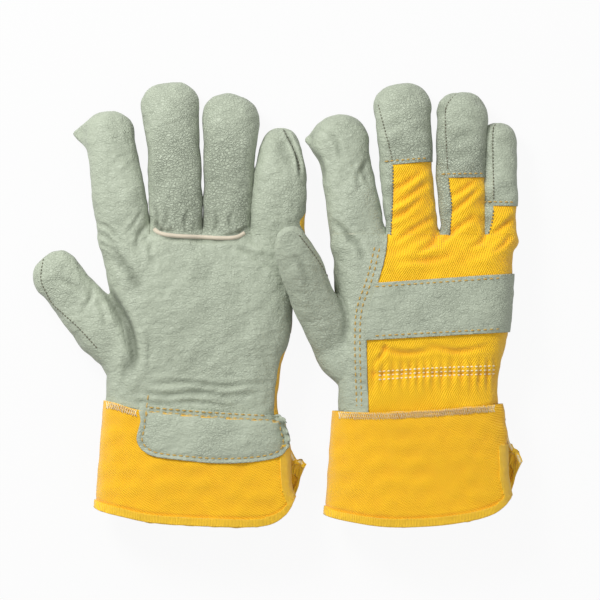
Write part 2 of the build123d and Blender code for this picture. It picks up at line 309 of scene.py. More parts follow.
def refined(points, quads):
    """The same surface with each quad split in four and smoothed, as points, normals and triangles."""
    mesh = bpy.data.meshes.new("scratch")
    mesh.from_pydata(points.tolist(), [], quads.tolist())
    holder = bpy.data.objects.new("scratch", mesh)
    bpy.context.scene.collection.objects.link(holder)
    holder.modifiers.new("smooth", "SUBSURF").levels = 1
    made = holder.evaluated_get(bpy.context.evaluated_depsgraph_get()).to_mesh()
    made.calc_loop_triangles()
    verts = read(made.vertices, "co", 3)
    normals = read(made.vertex_normals, "vector", 3)
    triangles = read(made.loop_triangles, "vertices", 3, np.int32).astype(np.int64)
    bpy.data.objects.remove(holder)
    bpy.data.meshes.remove(mesh)
    return verts, normals, triangles


def read(collection, name, width, kind=np.float32):
    values = np.zeros(len(collection) * width, kind)
    collection.foreach_get(name, values)
    return values.reshape(-1, width)


class Surface:
    """Triangles with a place, a normal and a painted shade value at each corner."""

    def __init__(self, verts, normals, triangles, shade=None):
        self.verts, self.normals = np.asarray(verts, float), np.asarray(normals, float)
        self.triangles = triangles
        self.shade = np.zeros(len(verts)) if shade is None else shade
        self.plan = self.verts.copy()  # where each corner was before it was creased

    def cut(self, values, snap=0.1):
        """Split the triangles along the line where values is zero."""
        values = np.where(np.abs(values) < snap, 0, values)
        sign = np.sign(values)[self.triangles]
        split = (sign.max(1) > 0) & (sign.min(1) < 0)
        kept = self.triangles[~split]
        triangles, sign = self.triangles[split], sign[split]
        one_zero = (sign == 0).any(1)
        lone = np.abs(sign - np.sign(sign.sum(1))[:, None]).argmax(1)
        odd = np.where(one_zero, (sign == 0).argmax(1), lone)
        order = (odd[:, None] + np.arange(3)) % 3
        a, b, c = np.take_along_axis(triangles, order, 1).T
        crossed = [(a, b, ~one_zero), (a, c, ~one_zero), (b, c, one_zero)]
        edges = np.sort(np.vstack([np.stack([start, end], 1)[which] for start, end, which in crossed]), 1)
        unique, inverse = np.unique(edges, axis=0, return_inverse=True)
        inverse = inverse.reshape(-1) + len(self.verts)
        share = (values[unique[:, 0]] / (values[unique[:, 0]] - values[unique[:, 1]]))[:, None]
        for name in ("verts", "normals", "plan", "shade"):
            old = getattr(self, name)
            t = share if old.ndim == 2 else share[:, 0]
            new = old[unique[:, 0]] * (1 - t) + old[unique[:, 1]] * t
            setattr(self, name, np.concatenate([old, new]))
        two = (~one_zero).sum()
        p, q, r = inverse[:two], inverse[two:2 * two], inverse[2 * two:]
        a2, b2, c2 = a[~one_zero], b[~one_zero], c[~one_zero]
        a1, b1, c1 = a[one_zero], b[one_zero], c[one_zero]
        fresh = [(a2, p, q), (p, b2, c2), (p, c2, q), (a1, b1, r), (a1, r, c1)]
        self.triangles = np.vstack([kept, *[np.stack(piece, 1) for piece in fresh]])

    def centres(self):
        return self.plan[self.triangles].mean(1)

    def part(self, mask, lift=0.0):
        """The masked triangles as a surface of their own, lifted off along the normals."""
        used, triangles = np.unique(self.triangles[mask], return_inverse=True)
        piece = Surface(self.verts[used] + lift * self.normals[used], self.normals[used],
                        triangles.reshape(-1, 3), self.shade[used])
        piece.plan = self.plan[used]
        return piece


# --- the two gloves, mm ---
LEFT = Glove(
    "left", True,
    palm=[(-57, -34), (-57, -10), (-57, 12), (-56, 26), (-51, 40), (-51, 54), (-55, 71), (-58.5, 94),
          (-55, 105), (0, 106.5), (57, 105), (59.5, 95), (57.5, 74), (55.6, 59), (52.8, 38), (48.5, 24),
          (46.8, 8), (47, -10), (47, -34), (0, -60)],
    digits={
        "index": Digit(9.6, [(-14, -0.1, 15.8), (9, 0.2, 16.6), (30, 0.4, 15.2), (45, 0.4, 14.8)],
                       blunt=[(50.2, -1.4, 12.9), (50.2, 2.6, 12.9)],
                       ear=[(50, -2, 13.0), (53.6, -19.4, 2.3)]),
        "middle": Digit(4.0, [(-12, -0.6, 15.8), (9, 0, 16.6), (40, 0.8, 16), (58, 0.5, 16.6)],
                        blunt=[(66.6, -3.6, 13.6), (66.8, 4.6, 13.6)], cap=31),
        "ring": Digit(-2.4, [(-12, 0.2, 14.6), (9, 0.1, 15.1), (30, 0.1, 15.4), (52, 0, 16.4)],
                      blunt=[(60.2, -3.4, 13.8), (58.6, 3.4, 13.8)], cap=24),
        "little": Digit(-3.0, [(-8, -0.4, 16.4), (9, -0.2, 16.9), (24, -0.2, 16), (36, -0.4, 13.6),
                               (41.4, -0.6, 11.4)],
                        cap=8, seam=[(52, 0.3), (41.6, 6.1), (33.4, 10.2), (27.4, 11.7)]),
        "thumb": Digit(37.8, [(-4, 0, 13.4), (17, -0.6, 16.4), (38, -1.3, 15.2), (55, -1.4, 14.7)],
                       blunt=[(59.5, -4.4, 11.6), (60.5, 1.8, 11.4)], rise=-5.0,
                       seam=[(71, -2), (62, -10.5), (52.7, -13.1), (45.3, -14), (25, -10.4), (8, -8.9)]),
    },
    cuff_left=(-58.4, -63.6), cuff_right=(51.0, 60.5),
    hem=[(-64, 5.2), (-52, 3.2), (-34, -1.6), (0, -5.0), (30, -7.0), (62, -9.5)],
    mouth=[(-66, -55), (-62, -61), (-45, -65.5), (-26, -69), (10, -71), (38, -70.8), (51, -64.5), (57, -54),
           (60.5, -42), (66, -30)],
    strip_edge=[(-30, -20), (-33, 40), (-31, 62), (-26, 92), (-30, 124)],
    strap=([(-36, 41), (60, 45)], [(-36, 76), (60, 80)]),
    creases=[
        (2.6, 3.4, [(-55.5, 71), (-51, 62), (-43.5, 47.5), (-40, 31), (-43.5, 21)]),
        (1.1, 3.2, [(-53, 92), (-44, 84), (-36, 71)]),
        (0.7, 1.6, [(-62, 106), (-54, 101), (-47, 93)]),
        (0.6, 1.3, [(-63, 112), (-55, 108), (-46, 99)]),
        (0.6, 1.3, [(-60, 99), (-52, 95), (-46, 88)]),
        (0.5, 1.2, [(-35, 118), (-40, 110), (-45, 104)]),
        (0.6, 1.4, [(-32, 110), (-37, 103), (-38, 96)]),
        (0.8, 1.8, [(22, 97), (34, 92), (46, 90)]),
        (0.6, 1.6, [(26, 90), (37, 88), (48, 82)]),
        (0.6, 1.5, [(-28, 101), (-30, 94), (-27, 86)]),
        (0.8, 1.4, [(-30, 104), (-26, 112), (-28, 122)]),
        (0.7, 1.3, [(-25, 105), (-20, 113), (-21, 121)]),
        (0.7, 1.3, [(-8, 104), (-9, 112), (-6, 120)]),
        (0.7, 1.3, [(8, 104), (10, 112), (9, 118)]),
        (0.7, 1.3, [(20, 104), (18, 112), (20, 119)]),
        (1.5, 1.0, [(50, 170), (54.5, 161), (58.5, 151), (60.5, 139)]),
        (0.8, 3.0, [(49.5, 161), (50.5, 153), (54, 146)]),
        (0.8, 1.4, [(-29.6, 111), (-25.5, 103.4), (-15, 101.4), (0, 100.9), (14, 100.4), (22, 100.8),
                    (27, 104)]),
        (1.1, 1.5, [(-28, 113), (-24, 107), (-16, 105.4)]),
        (1.0, 1.4, [(14, 103.6), (22, 104.6), (29, 109)]),
        (0.8, 1.8, [(-36, 10), (-20, 7.5), (0, 9.5), (18, 7), (34, 9.5)]),
        (0.7, 1.6, [(-30, 14), (-8, 15.5), (12, 13), (40, 15.5)]),
        (0.6, 1.5, [(-40, 4), (-22, 2.5), (-4, 3.6), (20, 1)]),
        (0.6, 1.8, [(-48, 12), (-45, 24), (-46, 33)]),
        (0.7, 1.8, [(-84, 78), (-77, 74), (-71, 72)]),
        (0.6, 1.5, [(-70, 60), (-66, 66), (-66, 72)]),
        (0.9, 2.0, [(-62, 66), (-58, 58), (-57, 49)]),
    ],
    elastic_y=20.0, thumb_seam=(-7.0, 5.5),
)
RIGHT = Glove(
    "right", False,
    palm=[(-49, -34), (-49, -10), (-49, 10), (-50.5, 26), (-49.5, 45), (-51, 70), (-51.5, 88), (-48, 103),
          (0, 105.5), (54, 103), (56.4, 93), (56, 80), (54, 47), (48.5, 24), (47.4, 8), (47.6, -10),
          (47.6, -34), (0, -60)],
    digits={
        "index": Digit(10.9, [(-14, -0.5, 16.8), (-3, -0.4, 16.5), (27, 0, 15.3), (44, 0.3, 15.6)],
                       blunt=[(46.6, -3, 14.4), (47.2, 2.4, 14.2)],
                       ear=[(46.6, -3, 14.2), (50.4, -19.2, 2.3)]),
        "middle": Digit(4.5, [(-12, 0.3, 15.5), (27, -0.4, 15.9), (58, 0.3, 16.4)],
                        blunt=[(66, -3.4, 13.6), (65.8, 3.6, 13.6)], cap=31,
                        seam=[(68, -13.9), (55, -11.8), (41, -9.3), (30, -8.3), (10, -10), (-12, -12.8)]),
        "ring": Digit(1.1, [(-12, 0.8, 13.8), (24, -1.4, 14.9), (56, 0.1, 14.9)],
                      blunt=[(61.8, -2.4, 12.6), (61.4, 2.4, 12.6)], cap=22.5,
                      seam=[(73, -3), (67, -8.2), (58, -9.9), (22, -8.8), (6, -7.3), (-12, -8.8)]),
        "little": Digit(-0.9, [(-14, -3.4, 10.8), (9, -2.9, 10.8), (42, -4.1, 11.0), (44.8, -4.2, 11.2)],
                        cap=5.5, seam=[(55, -5.6), (47, -7.2), (2.7, -6.4), (-12, -9.2)]),
        "thumb": Digit(24.4, [(-8, 0, 14.6), (15, -0.8, 14.2), (34, -1.6, 13.2), (50, -0.6, 13.3),
                              (62, -0.2, 11.6), (68, 0.6, 9.6)],
                       rise=32.0, seam=[(70, 6.6), (53, 10.4), (40.8, 12), (26, 12.4)]),
    },
    cuff_left=(-52.6, -57.2), cuff_right=(50.5, 58.8),
    hem=[(-58, -1.6), (-30, -2.6), (0, -1.4), (30, 0.8), (60, 3.2)],
    mouth=[(-60, -60), (-56, -64.8), (-40, -68.5), (-18.6, -71.2), (8, -70.6), (29, -67.8), (43, -64),
           (51, -58.6), (56, -51), (58.8, -41), (64, -28)],
    strip_edge=[(-30, -20), (-31, 4), (-32, 38), (-31, 58), (-25, 76), (-20, 96), (-19, 124)],
    strap=([(-36, 40.6), (60, 46)], [(-36, 74.4), (60, 81)]),
    creases=[
        (1.0, 2.4, [(-65, 156), (-60, 146), (-58, 137)]),
        (0.9, 1.8, [(-31, 150), (-33.5, 142), (-31, 135)]),
        (0.7, 1.6, [(-34, 146), (-37, 139), (-36, 131)]),
        (0.7, 1.8, [(-55, 166), (-49, 158), (-47, 149)]),
        (0.8, 2.0, [(-46, 106), (-38, 99), (-33, 88)]),
        (0.7, 1.8, [(-52, 112), (-45, 106), (-40, 98)]),
        (1.1, 2.0, [(-22, 112), (-10, 117), (2, 127)]),
        (0.9, 1.8, [(-19, 121), (-8, 126), (5, 136)]),
        (0.8, 1.6, [(-19, 131), (-10, 134), (2, 142)]),
        (1.0, 1.8, [(-16, 99), (-6, 106), (8, 114)]),
        (1.0, 1.8, [(-2, 93), (8, 99), (11, 106)]),
        (0.9, 1.6, [(16, 116), (25, 122), (36, 132)]),
        (0.8, 1.6, [(17, 126), (26, 131), (34, 137)]),
        (0.9, 1.7, [(12, 98), (20, 106), (33, 115)]),
        (0.8, 1.6, [(30, 96), (38, 101), (40, 108)]),
        (0.8, 1.5, [(42, 104), (49, 108), (57, 115)]),
        (0.8, 1.5, [(44, 94), (50, 98), (55, 104)]),
        (0.9, 2.0, [(-14, 88), (4, 89), (20, 92)]),
        (0.9, 1.7, [(-26, 37), (-10, 33), (8, 35)]),
        (0.8, 1.6, [(4, 38), (22, 34), (40, 37)]),
        (0.8, 1.5, [(-27, 27), (-22, 33), (-20, 39)]),
        (0.9, 2.2, [(-47, 66), (-44, 52), (-46, 38)]),
        (0.6, 2.0, [(-76, 92), (-70, 84), (-67, 74)]),
    ],
    elastic_y=20.5, thumb_seam=(5.5, 5.5),
)
GLOVES = (LEFT, RIGHT)
PATCH = [(-34.4, 1.6), (-35.5, -8), (-37.8, -17), (-36.6, -22.5), (-32.5, -26.6), (-26, -29.2), (-8, -31.4),
         (10, -33), (28, -32.6), (41, -31), (49, -28.4), (52.6, -24), (53, -18), (50.8, -11), (48.8, -5.2),
         (20, -2.8), (-8, -0.4)]
WELT = [(-29.6, 113), (-28.4, 108.6), (-24, 105), (-15, 103.4), (0, 102.7), (14, 102), (22, 102.6),
        (27, 105.2)]


# --- the forms ---
def palm_field(glove, x, y, z):
    """The hand without its digits: an outline blown up round its sides, lower at the wrist."""
    depth = -outline_field(curve(glove.palm, 5, closed=True), x[..., 0], y[..., 0])[..., None]
    side = np.clip((PALM_ROUND - depth) / PALM_ROUND, 0, None)
    swell = np.exp(-((y - 62) / 42) ** 2)
    half = np.where(z > glove.mid, 11.6 + 3.4 * swell, 14.2 + 2.5 * swell)
    return rounded(side, PALM_ROUND, np.abs(z - glove.mid) / half, half, 2.3)


def grid(low, high):
    """Points VOXEL apart that fill a box."""
    axes = [np.arange(a, b, VOXEL) for a, b in zip(low, high)]
    return np.meshgrid(*axes, indexing="ij")


def surface_of(field, low):
    points, normals, triangles = refined(*surface_net(field, low, VOXEL))
    return Surface(points, normals, triangles)


def hand_surface(glove):
    low = (-80, -14, -2)
    x, y, z = grid(low, (72, ROOT_Y + 5, 38))
    fingers = np.minimum.reduce([glove.digits[name].field(x, y, z) for name in FINGERS])
    whole = smooth_min(palm_field(glove, x, y, z), fingers, 5)
    return surface_of(smooth_max(whole, HAND_FLOOR - z, 1.5), low)


def finger_surface(glove, name):
    """A finger with its share of the end of the palm, closed all round except at its root."""
    digit, place = glove.digits[name], FINGERS.index(name)
    low = (digit.hinge[0] - 45, ROOT_Y - 5, -2)
    x, y, z = grid(low, (digit.hinge[0] + 42, digit.hinge[1] + digit.reach + 5, 34))
    palm = palm_field(glove, x, y, z)
    for step in (-1, 1):
        if 0 <= place + step < len(FINGERS):
            other = glove.digits[FINGERS[place + step]]
            reach, other_reach = digit.stations[1][2], other.stations[1][2]
            between = (digit.hinge[0] + step * reach + other.hinge[0] - step * other_reach) / 2
            palm = np.maximum(palm, step * (x - between) - 1)
    whole = smooth_min(digit.field(x, y, z), palm, 5)
    floor = HAND_FLOOR + (DIGIT_FLOOR - HAND_FLOOR) * np.clip((y - ROOT_Y) / 20, 0, 1)
    return surface_of(smooth_max(whole, floor - z, 1.5), low)


def thumb_surface(glove):
    """A thumb with a root that spreads inside the hand."""
    digit = glove.digits["thumb"]
    low = (digit.hinge[0] - 75, digit.hinge[1] - 34, -2)
    x, y, z = grid(low, (digit.hinge[0] + 34, digit.hinge[1] + 84, 62))
    thumb = digit.field(x, y, z)
    root = smooth_max(palm_field(glove, x, y, z) + 1.2, thumb - 9, 4)
    return surface_of(smooth_max(smooth_min(thumb, root, 7), HAND_FLOOR - z, 1.5), low)


def crease(glove, surface):
    """Press the glove's folds into the upper side of a surface, and some random wrinkling all over."""
    x, y, _ = surface.plan.T
    facing = surface.normals[:, 2]
    upward = np.clip((facing + 0.1) / 0.5, 0, 1)
    pressed = np.zeros(len(x))
    for depth, width, points in glove.creases:
        line = curve(points, 8)
        near = ((x > line[:, 0].min() - CREASE_REACH) & (x < line[:, 0].max() + CREASE_REACH)
                & (y > line[:, 1].min() - CREASE_REACH) & (y < line[:, 1].max() + CREASE_REACH))
        away, where = to_line(line, x[near], y[near])
        taper = np.sqrt(np.clip(4 * where * (1 - where), 0.02, 1))
        valley = np.exp(-((away / width) ** 2))
        bank = BANK * np.exp(-((away / width - 2) ** 2))
        pressed[near] += depth * taper * upward[near] * (valley - bank)
    seed = 20 if glove is LEFT else 120
    broad = 0.34 * ripples(surface.plan, 17, seed)
    fine = 0.14 * ripples(surface.plan, 6.5, seed + 1, (1.3, 0.8, 1))
    low_relief = broad + fine
    surface.verts -= surface.normals * (CREASE_DEPTH * pressed - low_relief)[:, None]
    surface.verts[:, 2] = np.maximum(surface.verts[:, 2], LOWEST - 0.05)
    # Painted shade: darker in the pressed folds and low dips, lighter on the banks and the rises.
    surface.shade = np.clip(pressed / 1.6, -0.4, 1) - 0.25 * low_relief


def pucker(glove, surface):
    """Gather the drill back along its elastic, and wave it above the strap."""
    x, y, _ = surface.plan.T
    away = y - glove.elastic_y
    back = np.clip(glove.up * -surface.normals[:, 2], 0, 1) * np.clip((x + 31) / 4, 0, 1)
    gather = np.exp(-(away / 8) ** 2)
    uneven = 1.3 * np.sin(x / 7)
    folds = 0.75 * gather * np.sin(2 * pi * x / GATHER_PITCH + uneven) * np.exp(-(away / 30) ** 2)
    tuck = 0.8 * np.exp(-(away / 1.6) ** 2)
    above = np.clip((y - 83) / 5, 0, 1)
    waves = 0.5 * above * ripples(surface.plan, 12, 31, (0.75, 1.2, 0.2))
    moved = back * (folds + waves - tuck)
    surface.verts += surface.normals * moved[:, None]
    # Painted shade in the tucks and a painted highlight on the raised folds of the drill.
    surface.shade -= 0.5 * np.minimum(moved, 0.4)


# --- materials ---
def material(name, colour, roughness, sheen=0.0):
    made = bpy.data.materials.new(name)
    made.use_nodes = True
    shader = made.node_tree.nodes["Principled BSDF"]
    shader.inputs["Base Color"].default_value = (*colour, 1)
    shader.inputs["Roughness"].default_value = roughness
    shader.inputs["Sheen Weight"].default_value = sheen
    shader.inputs["Sheen Roughness"].default_value = 0.5
    shader.inputs["Specular IOR Level"].default_value = 0.35
    return made, made.node_tree, shader


def node(tree, kind, links=(), **values):
    """A node with its socket values set by name, and its inputs linked from (socket, output)."""
    made = tree.nodes.new(kind)
    for name, value in values.items():
        if hasattr(made, name):
            setattr(made, name, value)
        else:
            made.inputs[name.replace("_", " ")].default_value = value
    for socket, output in links:
        tree.links.new(output, made.inputs[socket])
    return made


def attribute(tree, name):
    return node(tree, "ShaderNodeAttribute", attribute_name=name)


def ranged(tree, value, low, high, start, end):
    """A value brought from one range to another."""
    made = node(tree, "ShaderNodeMapRange", [("Value", value)])
    for socket, number in (("From Min", low), ("From Max", high), ("To Min", start), ("To Max", end)):
        made.inputs[socket].default_value = number
    return made.outputs["Result"]


def product(tree, value, factor):
    """A value times another, or times a number."""
    made = node(tree, "ShaderNodeMath", [(0, value)], operation="MULTIPLY")
    if isinstance(factor, (int, float)):
        made.inputs[1].default_value = factor
    else:
        tree.links.new(factor, made.inputs[1])
    return made.outputs[0]


def total(tree, first, second):
    return node(tree, "ShaderNodeMath", [(0, first), (1, second)], operation="ADD").outputs[0]


def mixed(tree, factor, colour, other):
    """A linked colour mixed with a plain one."""
    made = node(tree, "ShaderNodeMix", [("Factor", factor), ("A", colour)], data_type="RGBA")
    made.inputs["B"].default_value = (*other, 1)
    return made.outputs["Result"]


def toned(tree, colour, deep, amount, patches):
    """The colour with soft random patches, and painted shade: darker where the shade attribute says that
    the cloth is pressed in.
    """
    place = attribute(tree, "rest").outputs["Vector"]
    blotch = node(tree, "ShaderNodeTexNoise", [("Vector", place)], Scale=patches, Detail=4.0)
    shade = attribute(tree, "shade").outputs["Fac"]
    spread = ranged(tree, blotch.outputs["Fac"], 0.35, 0.8, 0.0, 0.14)
    # painted shade: the shade attribute moves the colour towards the deep one
    depth = node(tree, "ShaderNodeMath", [(0, spread), (1, product(tree, shade, amount))], operation="ADD")
    depth.use_clamp = True
    tone = node(tree, "ShaderNodeMix", [("Factor", depth.outputs[0])], data_type="RGBA")
    tone.inputs["A"].default_value = (*colour, 1)
    tone.inputs["B"].default_value = (*deep, 1)
    return place, tone.outputs["Result"]


def relief(tree, shader, height, depth_mm, strength=1.0):
    bump = node(tree, "ShaderNodeBump", [("Height", height)], Strength=strength)
    bump.inputs["Distance"].default_value = depth_mm * MM
    tree.links.new(bump.outputs["Normal"], shader.inputs["Normal"])


def wandering(tree, place, scale, reach_mm):
    """The place, moved about a little so that a pattern isn't regular."""
    bent = node(tree, "ShaderNodeTexNoise", [("Vector", place)], Scale=scale, Detail=2.0)
    centred = node(tree, "ShaderNodeVectorMath", [(0, bent.outputs["Color"])], operation="SUBTRACT")
    centred.inputs[1].default_value = (0.5, 0.5, 0.5)
    moved = node(tree, "ShaderNodeVectorMath", [(0, centred.outputs[0])], operation="SCALE")
    moved.inputs["Scale"].default_value = reach_mm * MM
    bent_place = node(tree, "ShaderNodeVectorMath", [(0, place), (1, moved.outputs[0])], operation="ADD")
    return bent_place.outputs[0]


def leather(name, colour, deep):
    """Grain leather: small uneven pebbles with painted shade in the crevices between them, fine cross
    creases and a soft gloss.
    """
    made, tree, shader = material(name, colour, 0.46, 0.12)
    place, tone = toned(tree, colour, deep, 0.75, 70.0)
    grain = attribute(tree, "grain").outputs["Fac"]
    moved = wandering(tree, place, 330.0, 2.6)
    stretched = node(tree, "ShaderNodeVectorMath", [(0, moved)], operation="MULTIPLY")
    stretched.inputs[1].default_value = (0.8, 1.25, 1.0)
    pebble = node(tree, "ShaderNodeTexVoronoi", [("Vector", stretched.outputs[0])], Scale=600.0)
    pebble.feature = "DISTANCE_TO_EDGE"
    dome = ranged(tree, pebble.outputs["Distance"], 0.0, 0.22, 0.0, 1.0)
    folds = node(tree, "ShaderNodeTexNoise", [("Vector", stretched.outputs[0])], Scale=210.0, Detail=3.0)
    fold = ranged(tree, folds.outputs["Fac"], 0.3, 0.7, 0.0, 1.3)
    fine = node(tree, "ShaderNodeTexNoise", [("Vector", place)], Scale=1500.0, Detail=3.0)
    grained = product(tree, dome, grain)
    height = total(tree, total(tree, grained, fold), product(tree, fine.outputs["Fac"], 0.25))
    # Painted shade in the crevices between the pebbles, strongest where the grain is coarse.
    crevice_shade = product(tree, ranged(tree, pebble.outputs["Distance"], 0.0, 0.10, 0.55, 0.0), grain)
    tree.links.new(mixed(tree, crevice_shade, tone, deep), shader.inputs["Base Color"])
    relief(tree, shader, height, 0.42)
    return made


def wave_along(tree, place, direction, pitch_mm):
    """A wave across the cloth that repeats every pitch_mm along a direction."""
    scale = 2 * pi / (pitch_mm * MM)
    dot = node(tree, "ShaderNodeVectorMath", [(0, place)], operation="DOT_PRODUCT")
    dot.inputs[1].default_value = tuple(scale * part for part in direction)
    return node(tree, "ShaderNodeMath", [(0, dot.outputs["Value"])], operation="SINE").outputs[0]


def twill(name, colour, deep, slant, pitch_mm):
    """Drill: raised diagonal lines of yarn over a fine cross weave, with painted shade in the low places
    between them.
    """
    made, tree, shader = material(name, colour, 0.75, 0.35)
    place, tone = toned(tree, colour, deep, 0.9, 60.0)
    angle = radians(slant)
    moved = wandering(tree, place, 60.0, 2.0)
    ridges = wave_along(tree, moved, (-sin(angle), cos(angle), 0.6), pitch_mm)
    yarns = wave_along(tree, moved, (cos(angle), sin(angle), 0.3), pitch_mm * 0.8)
    height = total(tree, ridges, product(tree, yarns, 0.35))
    # Painted shade: darker where the weave lies low.
    dark = ranged(tree, height, 0.3, -1.2, 0.0, 0.5)
    tree.links.new(mixed(tree, dark, tone, deep), shader.inputs["Base Color"])
    relief(tree, shader, height, 0.16)
    return made


def fibrous(name, colour, deep, grain):
    """A raw edge, thread or lining: matt, with a fine fibrous relief."""
    made, tree, shader = material(name, colour, 0.85, 0.3)
    place, tone = toned(tree, colour, deep, 0.6, grain / 4)
    fibre = node(tree, "ShaderNodeTexNoise", [("Vector", place)], Scale=grain, Detail=4.0)
    tree.links.new(tone, shader.inputs["Base Color"])
    relief(tree, shader, fibre.outputs["Fac"], 0.25)
    return made


# Each material's second colour is the deep tone of its random patches and of its painted shade.
LEATHER_FACE = leather("grain_leather", (0.425, 0.475, 0.368), (0.145, 0.168, 0.12))
RAW_LEATHER = fibrous("raw_leather", (0.62, 0.55, 0.43), (0.40, 0.36, 0.28), 900.0)
BACK_DRILL = twill("back_drill", (1.0, 0.60, 0.0), (0.88, 0.38, 0.0), 62, 1.15)
CUFF_DRILL = twill("cuff_drill", (1.0, 0.56, 0.0), (0.88, 0.36, 0.0), -32, 1.2)
BINDING = twill("binding_tape", (1.0, 0.62, 0.02), (0.92, 0.46, 0.01), 90, 0.9)
RAW_DRILL = fibrous("raw_drill", (0.95, 0.78, 0.42), (0.8, 0.55, 0.2), 800.0)
OCHRE_THREAD = fibrous("ochre_thread", (0.55, 0.36, 0.09), (0.35, 0.2, 0.04), 1600.0)
DARK_THREAD = fibrous("dark_thread", (0.16, 0.16, 0.11), (0.07, 0.07, 0.05), 1600.0)
PALE_THREAD = fibrous("pale_thread", (0.95, 0.83, 0.55), (0.80, 0.60, 0.28), 1600.0)
INNER = fibrous("lining_cloth", (0.50, 0.44, 0.30), (0.30, 0.24, 0.12), 500.0)

# thickness, face, cut edge and record slot
PLAIN_LEATHER = (LEATHER, LEATHER_FACE, LEATHER_FACE, "leather")
RAW_EDGED_LEATHER = (LEATHER, LEATHER_FACE, RAW_LEATHER, "leather")
DRILL_CLOTH = (DRILL, BACK_DRILL, BACK_DRILL, "drill")


# --- pieces ---
def mesh_piece(glove, name, verts, faces, shade, materials, grain=None):
    """A new object of the glove, with where each corner was at rest kept for its materials."""
    mesh = bpy.data.meshes.new(f"{glove.side}_{name}")
    places = glove.world(verts)
    mesh.from_pydata(places.tolist(), [], faces.tolist() if hasattr(faces, "tolist") else faces)
    mesh.attributes.new("rest", "FLOAT_VECTOR", "POINT").data.foreach_set("vector", places.ravel())
    # shade holds the painted shade of folds, grooves and dips, for the materials
    mesh.attributes.new("shade", "FLOAT", "POINT").data.foreach_set("value", np.asarray(shade, float))
    grain = np.full(len(verts), 0.45) if grain is None else grain
    mesh.attributes.new("grain", "FLOAT", "POINT").data.foreach_set("value", np.asarray(grain, float))
    for slotted in materials:
        mesh.materials.append(slotted)
    mesh.polygons.foreach_set("use_smooth", [True] * len(mesh.polygons))
    piece = bpy.data.objects.new(f"{glove.side}_{name}{SEWN}", mesh)
    bpy.context.scene.collection.objects.link(piece)
    return piece


def stands_for_node(piece):
    """The piece takes the place of the CAD node that it is named after."""
    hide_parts(piece.name.removesuffix(SEWN))


def thickened(piece, thickness):
    """Give a sheet its thickness on the inside, with the second material on its cut edges."""
    solid = piece.modifiers.new("thickness", "SOLIDIFY")
    solid.thickness = thickness * MM
    solid.offset = -1
    solid.material_offset_rim = 1
    made = bpy.data.meshes.new_from_object(piece.evaluated_get(bpy.context.evaluated_depsgraph_get()))
    piece.modifiers.clear()
    old, piece.data = piece.data, made
    name = old.name
    bpy.data.meshes.remove(old)
    made.name = name
    return piece


def coarseness(glove, plan):
    """How strongly the leather is pebbled: most on the middle and ring fingers, least on the fingertips."""
    x, y, _ = plan.T
    middle, ring = glove.digits["middle"].hinge[0], glove.digits["ring"].hinge[0]
    inner = np.clip(1 - (np.abs(x - (middle + ring) / 2) - 27) / 5, 0, 1) * np.clip((y - 102) / 5, 0, 1)
    inner *= np.clip((176 - y) / 22, 0.25, 1)
    return 0.4 + 0.6 * inner + 0.12 * ripples(plan, 30, 77)


def sewn(glove, name, surface, cloth, mask, lift=0.0):
    """A pattern piece from the masked triangles of a cut surface, in place of its CAD node."""
    thickness, face, edge, slot = cloth
    part = surface.part(mask, lift)
    part.verts[:, 2] = np.maximum(part.verts[:, 2], LOWEST)
    piece = mesh_piece(glove, name, part.verts, part.triangles, part.shade, [face, edge],
                       coarseness(glove, part.plan))
    stands_for_node(piece)
    return thickened(piece, thickness)


def bend_with_cuff(glove, piece):
    """Bakes the piece's place into its mesh."""
    x = 0.0
    start, end = glove.world([(x, 26, glove.mid), (x, -2, glove.mid)])
    glove.body("hand")
    glove.body("cuff")
    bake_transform(piece)


def bend_with_digit(glove, piece, name):
    digit = glove.digits[name]
    first, last = (-8, 24) if name == "thumb" else (-11.6, 12)
    points = [(*digit.at(along, 0), glove.mid) for along in (first, last)]
    start, end = glove.world(points)
    glove.body("hand")
    glove.body(name)
    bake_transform(piece)


def make_finger(glove, name):
    """A finger's leather front, its back and the cap over its tip."""
    digit = glove.digits[name]
    surface = finger_surface(glove, name)
    crease(glove, surface)
    if name != "index":
        pucker(glove, surface)
    root = ROOT_Y - ROOT_OVERLAP
    cap = digit.cap or digit.reach + 9  # without a cap, the back goes on past the tip
    surface.cut(surface.plan[:, 1] - root)
    surface.cut(finger_seam(glove, digit, surface.plan))
    surface.cut(digit.along(surface.plan[:, 0], surface.plan[:, 1]) - cap)
    centres = surface.centres()
    kept = centres[:, 1] > root
    front = finger_seam(glove, digit, centres) > 0
    capped = digit.along(centres[:, 0], centres[:, 1]) > cap
    pieces = [sewn(glove, f"{name}_front", surface, PLAIN_LEATHER, kept & front)]
    if digit.cap:
        cap_leather = PLAIN_LEATHER if glove is LEFT else RAW_EDGED_LEATHER
        pieces.append(sewn(glove, f"{name}_cap", surface, cap_leather, kept & ~front & capped, 0.7))
        pieces.append(sewn(glove, f"{name}_back", surface, DRILL_CLOTH, kept & ~front & ~capped))
    else:
        pieces.append(sewn(glove, f"{name}_back", surface, PLAIN_LEATHER, kept & ~front))
    for piece in pieces:
        bend_with_digit(glove, piece, name)
    ground = Ground([surface])
    if digit.cap:
        row = [digit.at(digit.cap + 2.3, across) for across in (-13, -5, 5, 13)]
        rows = stitch_row(ground, row, -glove.up, 0.75, 3.0)
        bend_with_digit(glove, threads_piece(glove, f"{name}_cap_stitching", rows, OCHRE_THREAD), name)
    digit_seam_threads(glove, ground, name)


def digit_seam_threads(glove, ground, name):
    """The dark thread that shows along a digit's seam, on the upper side."""
    digit = glove.digits[name]
    if digit.seam:
        line = curve(digit.seam, 6)
        on_cap = (line[:, 0] > digit.cap + 0.5) if digit.cap and glove is RIGHT else line[:, 0] > 99
        rows = []
        for spots, lift in ((line[on_cap], 0.75), (line[~on_cap], 0.05)):
            if len(spots) > 1:
                rows += stitch_row(ground, [digit.at(*spot) for spot in spots], 1, lift, 2.0)
        bend_with_digit(glove, threads_piece(glove, f"{name}_seam_stitching", rows, DARK_THREAD), name)


